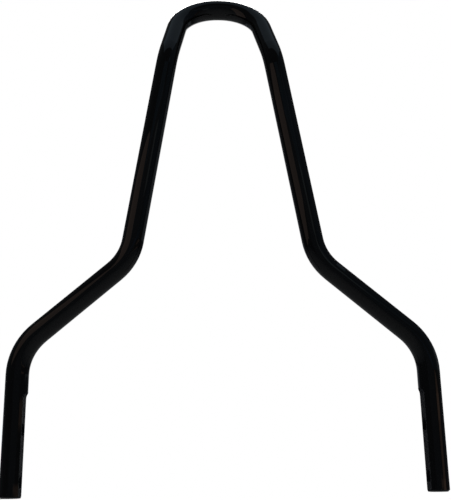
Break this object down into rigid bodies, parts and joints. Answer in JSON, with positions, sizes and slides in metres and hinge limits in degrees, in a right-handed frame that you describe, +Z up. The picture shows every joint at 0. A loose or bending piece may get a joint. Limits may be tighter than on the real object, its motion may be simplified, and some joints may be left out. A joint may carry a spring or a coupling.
{
  "type": "sissy bar",
  "caption": "Motorcycle sissy bar: a round steel bar bent into a tall hoop with a kicked-back crown and two parallel legs, each with a milled flat and tapped holes for bolting to the fender struts.",
  "frame": {"origin": "bottom centre of the overall box: midway between the legs, level with their ends, midway front to back", "axes": "+Z up along the legs, +X across from the left leg to the right leg, front of the bar at -Y, crown kicked back towards +Y"},
  "size_m": [0.3016, 0.0474, 0.3937],
  "materials": {
    "gloss_black": "gloss"
  },
  "bodies": {
    "root": {"bent_bar": "gloss_black"}
  },
  "joints": []
}
